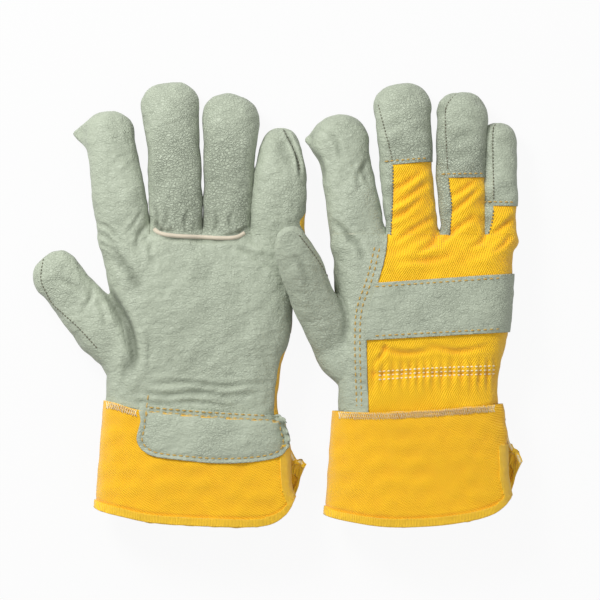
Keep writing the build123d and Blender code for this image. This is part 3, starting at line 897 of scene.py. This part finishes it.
def finger_seam(glove, digit, plan):
    """Positive on the palm side of a digit's side seams."""
    x, y, z = plan.T
    along, across = digit.along(x, y), digit.across(x, y)
    half = digit.stations[1][2] * FLATNESS
    above = (z - digit.height(along, half)) * glove.up
    inner = np.clip(0.5 + across / (2 * digit.stations[1][2]), 0, 1)
    inner = inner * inner * (3 - 2 * inner)
    if digit is glove.digits["thumb"]:
        outer_drop, inner_drop = glove.thumb_seam
        return above + outer_drop + (inner_drop - outer_drop) * inner
    if glove is RIGHT:
        side_seam = above + SEAM_DROP - 8 * inner
        if not digit.seam:
            return side_seam
        seam_along, seam_across = np.array(digit.seam[::-1]).T
        return np.maximum(side_seam, np.interp(along, seam_along, seam_across) - across)
    if digit is glove.digits["little"]:
        return above + SEAM_DROP - 13 * inner * np.exp(-((along + 4) / 8) ** 2)
    return above + SEAM_DROP


def make_thumb(glove):
    digit = glove.digits["thumb"]
    surface = thumb_surface(glove)
    crease(glove, surface)
    surface.cut(finger_seam(glove, digit, surface.plan))
    front = finger_seam(glove, digit, surface.centres()) > 0
    for name, mask in (("thumb_front", front), ("thumb_back", ~front)):
        bend_with_digit(glove, sewn(glove, name, surface, PLAIN_LEATHER, mask), "thumb")
    digit_seam_threads(glove, Ground([surface]), "thumb")
    return surface


def hand_seam(glove, plan):
    """Positive on the palm side of the side seams. The drill comes round to the palm near the wrist."""
    x, y, z = plan.T
    little_side = np.clip(x / 12, 0, 1)
    if glove is LEFT:
        rise = 11.5 * np.clip((41 - y) / 9, 0, 1) + 12 * np.exp(-((y - 111) / 9) ** 2)
    else:
        rise = 9.0
    return (z - glove.mid) * glove.up + SEAM_DROP - rise * little_side


def line_height(points, values):
    """A smooth line of the plan as a function of one coordinate."""
    line = curve(points, 8)
    order = np.argsort(line[:, 0])
    return np.interp(values, line[order, 0], line[order, 1])


def make_hand(glove):
    """Palm, forefinger strip, drill back and knuckle strap, cut from one surface."""
    surface = hand_surface(glove)
    crease(glove, surface)
    pucker(glove, surface)
    edge = [(y, x) for x, y in glove.strip_edge]
    low, high = glove.strap

    def strip_side(plan):
        return line_height(edge, plan[:, 1]) - plan[:, 0]

    def in_strap(plan):
        above = plan[:, 1] - line_height(low, plan[:, 0])
        below = line_height(high, plan[:, 0]) - plan[:, 1]
        return np.minimum(np.minimum(above, below), 0.5 - strip_side(plan))

    surface.cut(ROOT_Y - surface.plan[:, 1])
    surface.cut(hand_seam(glove, surface.plan))
    surface.cut(strip_side(surface.plan))
    strap_source = Surface(surface.verts, surface.normals, surface.triangles, surface.shade)
    strap_source.plan = surface.plan
    strap_source.cut(in_strap(surface.plan))
    centres = surface.centres()
    kept = centres[:, 1] < ROOT_Y
    front = hand_seam(glove, centres) > 0
    strip = strip_side(centres) > 0
    back = kept & ~front
    bending = [
        sewn(glove, "palm", surface, PLAIN_LEATHER, kept & front),
        sewn(glove, "forefinger_strip", surface, RAW_EDGED_LEATHER, back & strip, 0.6),
        sewn(glove, "back_drill", surface, DRILL_CLOTH, back & ~strip),
    ]
    centres = strap_source.centres()
    on_strap = (hand_seam(glove, centres) < 0) & (in_strap(centres) > 0)
    strap = sewn(glove, "knuckle_strap", strap_source, RAW_EDGED_LEATHER, on_strap, ON_TOP)
    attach(strap, glove.body("hand"))
    inner = surface.part(kept & front, -LEATHER - LINING)
    lining = mesh_piece(glove, "palm_lining", inner.verts, inner.triangles, inner.shade, [INNER, INNER])
    stands_for_node(lining)
    bending.append(thickened(lining, LINING))
    for piece in bending:
        bend_with_cuff(glove, piece)
    return surface


# --- the cuff ---
def cuff_point(glove, turn, share):
    """A point of the cuff. turn goes from the slit over the upper side, share from hem to mouth."""
    left, right = (edge[0] + (edge[1] - edge[0]) * share for edge in (glove.cuff_left, glove.cuff_right))
    angle = 2 * pi * turn
    across = np.sign(np.cos(angle)) * np.abs(np.cos(angle)) ** CUFF_SQUARENESS
    over = np.sign(np.sin(angle)) * np.abs(np.sin(angle)) ** CUFF_SQUARENESS
    half = 14.6 + 2.4 * share
    x = (left + right) / 2 + across * (right - left) / 2
    z = glove.mid + 1.5 + over * half
    below_hem = 74 * share - 3
    opening = np.clip((below_hem - 20) / 30, 0, 1) * np.clip((across - 0.55) / 0.45, 0, 1) ** 2
    upper = turn < 0.5
    x = x + np.where(upper, -3.4, 3.2) * opening
    z = z + np.where(upper, 2.6, -2.2) * opening
    hem, mouth = line_height(glove.hem, x), line_height(glove.mouth, x)
    y = hem + (mouth - hem) * share
    places = np.stack([x, y, z], -1).reshape(-1, 3)
    wave = ripples(places, 42, 5 if glove is LEFT else 6).reshape(x.shape)
    floor = CUFF_FLOOR if glove is LEFT else CUFF_FLOOR_ON_PATCH
    z = np.maximum(z + 0.8 * share * wave * np.where(upper, 1, 0.1), floor)
    return np.stack([x, y, z], -1)


def cuff_sheet(glove, turns, rows):
    turn, share = np.meshgrid(np.linspace(0, 1, turns), np.linspace(0, 1, rows), indexing="ij")
    points = cuff_point(glove, turn, share)
    along = np.gradient(points, axis=0)
    down = np.gradient(points, axis=1)
    normals = np.cross(along, down)
    normals /= np.linalg.norm(normals, axis=2)[..., None] + 1e-9
    index = np.arange(turns * rows).reshape(turns, rows)
    quads = np.stack([index[:-1, :-1], index[1:, :-1], index[1:, 1:], index[:-1, 1:]], -1)
    return points, normals, quads


def make_cuff(glove):
    """The cuff of drill and the tape that binds its mouth and its slit."""
    turns, rows = 320, 96
    points, normals, quads = cuff_sheet(glove, turns, rows)
    away = np.gradient(points, axis=1)
    length = np.linalg.norm(away, axis=2).sum(1, keepdims=True) * np.ones((1, rows))
    to_mouth = length * (1 - np.linspace(0, 1, rows))[None, :]
    around = np.cumsum(np.linalg.norm(np.gradient(points, axis=0), axis=2), axis=0)
    to_slit = np.minimum(around, around[-1:] - around)
    stitched = np.exp(-((np.minimum(to_mouth, 99) - BINDING_WIDTH - 0.6) / 0.8) ** 2)
    relief_mm = 0.22 * ripples(points.reshape(-1, 3), 11, 7).reshape(turns, rows) - 0.3 * stitched
    verts = (points + normals * relief_mm[..., None]).reshape(-1, 3)
    # Painted shade along the stitched groove and in the dips, painted highlight on the rises.
    shade = (0.5 * stitched - 0.4 * relief_mm).reshape(-1)
    cuff = mesh_piece(glove, "cuff", verts, quads.reshape(-1, 4), shade, [CUFF_DRILL, RAW_DRILL])
    thickened(cuff, CUFF_THICK)
    stands_for_node(cuff)
    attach(cuff, glove.body("cuff"))
    bound = (to_mouth < BINDING_WIDTH) | ((to_slit < SLIT_BINDING_WIDTH) & (points[..., 1] < SLIT_TOP))
    keep = bound[:-1, :-1] & bound[1:, 1:]
    ripple_mm = 0.12 * ripples(points.reshape(-1, 3), 4, 9).reshape(turns, rows)
    verts = (points + normals * (BINDING_PROUD + ripple_mm[..., None])).reshape(-1, 3)
    used, faces = np.unique(quads[keep], return_inverse=True)
    binding = mesh_piece(glove, "cuff_binding", verts[used], faces.reshape(-1, 4), np.zeros(len(used)),
                         [BINDING, BINDING])
    thickened(binding, CUFF_THICK + 2 * BINDING_PROUD)
    stands_for_node(binding)
    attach(binding, glove.body("cuff"))
    return Surface(points.reshape(-1, 3), normals.reshape(-1, 3), triangles_of(quads.reshape(-1, 4)))


def triangles_of(quads):
    return np.vstack([quads[:, [0, 1, 2]], quads[:, [0, 2, 3]]])


# --- laying things on the surfaces ---
class Ground:
    """The outside of a glove, to lay threads and patches on."""

    def __init__(self, surfaces):
        verts, faces, start = [], [], 0
        for surface in surfaces:
            verts.append(surface.verts)
            faces.append(surface.triangles + start)
            start += len(surface.verts)
        self.tree = BVHTree.FromPolygons(np.vstack(verts).tolist(), np.vstack(faces).tolist())

    def touch(self, x, y, up):
        """The height of the surface over a point of the plan, seen from above, or from below."""
        hit = self.tree.ray_cast(Vector((x, y, 120.0 * up)), Vector((0, 0, -up)))
        return hit[0].z if hit[0] is not None else None


def even_points(points, pitch):
    """Points a quarter of a pitch apart on a smooth line, and how many pitches it holds."""
    line = curve(points, 12)
    lengths = np.concatenate([[0], np.cumsum(np.hypot(*(line[1:] - line[:-1]).T))])
    count = max(int(lengths[-1] / pitch), 1)
    spots = np.linspace(0, lengths[-1], count * 4 + 1)
    return np.stack([np.interp(spots, lengths, column) for column in line.T], 1), count


def ring_faces(count, size):
    """The faces of a closed skin over count rings of size corners."""
    faces = []
    for ring in range(count - 1):
        for corner in range(size):
            a, b = ring * size + corner, ring * size + (corner + 1) % size
            faces.append((a, b, b + size, a + size))
    last = (count - 1) * size
    return [*faces, tuple(range(size - 1, -1, -1)), tuple(range(last, last + size))]


def tube(path, radii):
    """A round thread along a path of points."""
    path = np.asarray(path)
    forward = np.gradient(path, axis=0)
    forward /= np.linalg.norm(forward, axis=1)[:, None] + 1e-9
    side = np.cross(forward, (0, 0, 1.0))
    side /= np.linalg.norm(side, axis=1)[:, None] + 1e-9
    lift = np.cross(side, forward)
    angles = np.arange(THREAD_CORNERS) * 2 * pi / THREAD_CORNERS
    round_it = np.cos(angles)[None, :, None] * side[:, None] + np.sin(angles)[None, :, None] * lift[:, None]
    rings = path[:, None] + radii[:, None, None] * round_it
    return rings.reshape(-1, 3), ring_faces(len(path), THREAD_CORNERS)


def joined(parts):
    verts, faces, start = [], [], 0
    for points, polygons in parts:
        verts.append(points)
        faces.extend(tuple(corner + start for corner in face) for face in polygons)
        start += len(points)
    return np.vstack(verts), faces


def stitch_row(ground, points, up, lift, pitch=STITCH_LONG + STITCH_GAP):
    """Single stitches along a line, each one dipping into the cloth at both ends."""
    spots, count = even_points(points, pitch)
    threads = []
    for index in range(count):
        along = spots[index * 4:index * 4 + 4]
        heights = [ground.touch(x, y, up) for x, y in along]
        if None in heights:
            continue
        rise = np.array([-0.45, 0.1, 0.1, -0.45]) + lift
        path = np.column_stack([along, np.array(heights) + up * rise])
        threads.append(tube(path, THREAD_RADIUS * np.array([0.5, 1.0, 1.0, 0.5])))
    return threads


def zigzag(ground, points, up, high, pitch, phase, lift):
    """One thread that runs to and fro across a hem."""
    spots, _ = even_points(points, pitch)
    draw = np.random.default_rng(40 + int(10 * phase))
    path = []
    for index, (x, y) in enumerate(spots[::2]):
        swing = (index + phase) % 2
        drop = high * swing + draw.uniform(-0.35, 0.35)
        height = ground.touch(x, y - drop, up)
        if height is not None:
            path.append((x + draw.uniform(-0.2, 0.2), y - drop, height + up * lift))
    return tube(path, np.full(len(path), 0.32))


def threads_piece(glove, name, threads, thread, body=None, replaced=()):
    verts, faces = joined(threads)
    verts[:, 2] = np.maximum(verts[:, 2], LOWEST / 2)
    piece = mesh_piece(glove, name, verts, faces, np.zeros(len(verts)), [thread])
    for node_name in replaced:
        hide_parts(f"{glove.side}_{node_name}")
    if body:
        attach(piece, glove.body(body))
    return piece


def patch_surface(ground, line, up, lift, step=1.0):
    """A flat piece of leather laid over the glove, cut to an outline."""
    low, high = line.min(0) - 2, line.max(0) + 2
    xs, ys = np.arange(low[0], high[0], step), np.arange(low[1], high[1], step)
    x, y = np.meshgrid(xs, ys, indexing="ij")
    heights = np.array([[ground.touch(a, b, up) or np.nan for b in ys] for a in xs])
    heights = np.where(np.isnan(heights), np.nanmean(heights), heights)
    touched = heights.copy()
    for _ in range(3):
        heights[1:-1, 1:-1] = (heights[1:-1, 1:-1] * 2 + heights[:-2, 1:-1] + heights[2:, 1:-1]
                               + heights[1:-1, :-2] + heights[1:-1, 2:]) / 6
    heights = up * np.maximum(up * heights, up * touched - 0.3)
    index = np.arange(x.size).reshape(x.shape)
    quads = np.stack([index[:-1, :-1], index[1:, :-1], index[1:, 1:], index[:-1, 1:]], -1).reshape(-1, 4)
    verts = np.stack([x, y, heights + up * lift], -1).reshape(-1, 3)
    normals = np.tile((0.0, 0.0, float(up)), (len(verts), 1))
    triangles = triangles_of(quads if up > 0 else quads[:, ::-1])
    return Surface(verts, normals, triangles)


def make_patch(glove, ground):
    line = curve(PATCH, 6, closed=True)
    surface = patch_surface(ground, line, glove.up, LAYER + 0.2)
    inset = -outline_field(line, surface.plan[:, 0], surface.plan[:, 1])
    sewn_down = np.exp(-((inset - 3) / 1.1) ** 2)
    bulge = 0.5 * np.clip((inset - 3) / 8, 0, 1) + 0.3 * ripples(surface.plan, 14, 61)
    surface.verts[:, 2] += glove.up * (bulge - 0.5 * sewn_down)
    surface.verts[:, 2] = np.maximum(surface.verts[:, 2], 0.4)
    # Painted shade along the sewn-down groove, the rest of the patch a little lighter.
    surface.shade = 0.7 * sewn_down - 0.3
    surface.cut(inset)
    middle = surface.centres()
    inside = outline_field(line, middle[:, 0], middle[:, 1]) < 0
    piece = sewn(glove, "pulse_patch", surface, PLAIN_LEATHER, inside)
    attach(piece, glove.body("cuff"))
    return piece, surface.part(inside)


def leftward(line):
    """The direction to the left of a line at each of its points."""
    forward = np.gradient(line, axis=0)
    forward /= np.linalg.norm(forward, axis=1)[:, None]
    return np.stack([-forward[:, 1], forward[:, 0]], 1)


def ribbon(ground, line, up, wide, high, lift):
    """A narrow strip on its edge along a line: a half-round section that follows the surface."""
    line = np.array([(x, y) for x, y in line if ground.touch(x, y, up) is not None])
    angles = np.linspace(0, pi, 7)
    rings = []
    for (x, y), side in zip(line, leftward(line)):
        height = ground.touch(x, y, up)
        for angle in angles:
            out = wide * cos(angle)
            rings.append((x + side[0] * out, y + side[1] * out, height + up * (lift + high * sin(angle))))
    return np.array(rings), ring_faces(len(line), len(angles))


def make_welt(glove, ground):
    """The strip of raw leather in the seam at the root of the middle and ring fingers."""
    line = curve(WELT, 10)
    line = line[line[:, 1] < ROOT_Y + 8]
    verts, faces = ribbon(ground, line, glove.up, 1.3, 1.5, -0.3)
    piece = mesh_piece(glove, "finger_welt", verts, faces, np.zeros(len(verts)), [RAW_LEATHER])
    stands_for_node(piece)
    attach(piece, glove.body("hand"))


def shifted(points, across):
    """A line beside another one, on its left."""
    line = np.asarray(points, float)
    return line + across * leftward(line)


def strap_threads(glove, ground):
    """Two rows on the knuckle strap, and two along the edge of the forefinger strip."""
    rows = []
    for edge, inset in zip(glove.strap, (2.2, -2.2)):
        line = [(x, line_height(edge, x) + inset) for x in (-27, 10, 49)]
        rows += stitch_row(ground, line, -glove.up, ON_TOP)
    strip = [(x, y) for x, y in glove.strip_edge if 0 < y < 100]
    strip = [(strip[0][0], 2.0), *strip]
    for across in (4.0, 7.0):
        rows += stitch_row(ground, shifted(strip, across), -glove.up, 0.65)
    return threads_piece(glove, "strap_stitching", rows, OCHRE_THREAD, replaced=["strap_stitching"])


def elastic_threads(glove, ground):
    """Three rows that hold the elastic behind the gathered drill."""
    rows = []
    for row in (-2.4, 0.0, 2.4):
        line = [(x, glove.elastic_y + rise + row) for x, rise in ((-25, -1), (10, 1.2), (46, 2.4))]
        rows += stitch_row(ground, line, -glove.up, -0.1, 2.6)
    return threads_piece(glove, "wrist_elastic", rows, PALE_THREAD, replaced=["wrist_elastic"])


def hem_threads(glove, ground):
    """Zigzags along the top of the cuff. On the palm side they stop at the patch."""
    rows = []
    for side in (1, -1):
        line = curve([(x, y - 0.4) for x, y in glove.hem], 6)
        end = PATCH[0][0] - 1.5 if side == glove.up else glove.cuff_right[0] - 4
        inside = [(x, y) for x, y in line if glove.cuff_left[0] + 1 < x < end]
        for phase in (0.0, 1.0):
            rows.append(zigzag(ground, inside, side, 3.8, 2.2, phase, 0.25))
    threads_piece(glove, "hem_stitching", rows, PALE_THREAD, "cuff", ["hem_stitching"])


def patch_threads(glove, over_patch):
    """One row round the patch, and on the left glove two more that hold it to the palm."""
    outline = curve(PATCH, 6, closed=True)
    centre = np.mean(outline, 0)
    around = [tuple(centre + (spot - centre) * (0.93, 0.80)) for spot in outline[::4]]
    rows = stitch_row(over_patch, [*around, around[0]], glove.up, 0.1)
    threads = threads_piece(glove, "patch_stitching", rows, OCHRE_THREAD, "cuff", ["patch_stitching"])
    if glove is LEFT:
        rows = stitch_row(over_patch, [(-30.5, 0.4), (-8, -1.6), (14, -3.2), (40, -4.6)], glove.up, 0.1)
        rows += stitch_row(over_patch, [(-31, 8), (-32, 0), (-32.4, -6)], glove.up, 0.1)
        threads_piece(glove, "palm_stitching", rows, OCHRE_THREAD, "cuff")


def floor_and_light():
    """A white table, soft light from all round, and one large soft lamp from the upper left."""
    bpy.ops.mesh.primitive_plane_add(size=6, location=(0, 0, 0))
    table = bpy.context.object
    table.name = "table"
    made = bpy.data.materials.new("white_table")
    made.use_nodes = True
    tree = made.node_tree
    shader = tree.nodes["Principled BSDF"]
    shader.inputs["Base Color"].default_value = (0.6, 0.6, 0.6, 1)
    shader.inputs["Roughness"].default_value = 0.9
    glow = node(tree, "ShaderNodeEmission", Strength=1.0)
    seen = node(tree, "ShaderNodeLightPath").outputs["Is Camera Ray"]
    share = node(tree, "ShaderNodeMath", [(0, seen)], operation="MULTIPLY")
    share.inputs[1].default_value = 0.93
    both = node(tree, "ShaderNodeMixShader", [("Fac", share.outputs[0])])
    tree.links.new(shader.outputs[0], both.inputs[1])
    tree.links.new(glow.outputs[0], both.inputs[2])
    tree.links.new(both.outputs[0], tree.nodes["Material Output"].inputs["Surface"])
    table.data.materials.append(made)
    scene = bpy.context.scene
    scene.world = bpy.data.worlds.new("studio")
    scene.world.use_nodes = True
    background = scene.world.node_tree.nodes["Background"]
    background.inputs["Color"].default_value = (1, 1, 1, 1)
    background.inputs["Strength"].default_value = 0.5
    lamps = (("key", (-0.7, 0.85, 0.9), 0.5, 18), ("fill", (0.9, -0.5, 1.2), 1.2, 2.5))
    for name, place, size, power in lamps:
        lamp = bpy.data.lights.new(name, "AREA")
        lamp.size, lamp.energy = size, power
        holder = bpy.data.objects.new(name, lamp)
        holder.location = place
        holder.rotation_euler = (-Vector(place)).to_track_quat("-Z", "Y").to_euler()
        scene.collection.objects.link(holder)
    scene.view_settings.view_transform = "Standard"


def camera():
    """Straight down from far away, as the gloves were photographed."""
    lens = bpy.data.cameras.new("camera")
    lens.lens, lens.sensor_width = 240, 36
    holder = bpy.data.objects.new("camera", lens)
    wide, off_centre = 0.360, (0.013, 0.0024)
    distance = wide * lens.lens / lens.sensor_width + 0.03
    holder.location = (*off_centre, distance)
    bpy.context.scene.collection.objects.link(holder)
    bpy.context.scene.camera = holder


camera()
floor_and_light()
for glove in GLOVES:
    surfaces = [make_hand(glove), make_thumb(glove), make_cuff(glove)]
    for name in FINGERS:
        make_finger(glove, name)
    ground = Ground(surfaces)
    patch, patch_top = make_patch(glove, ground)
    make_welt(glove, ground)
    for threads in (strap_threads(glove, ground), elastic_threads(glove, ground)):
        bend_with_cuff(glove, threads)
    hem_threads(glove, ground)
    patch_threads(glove, Ground([*surfaces, patch_top]))
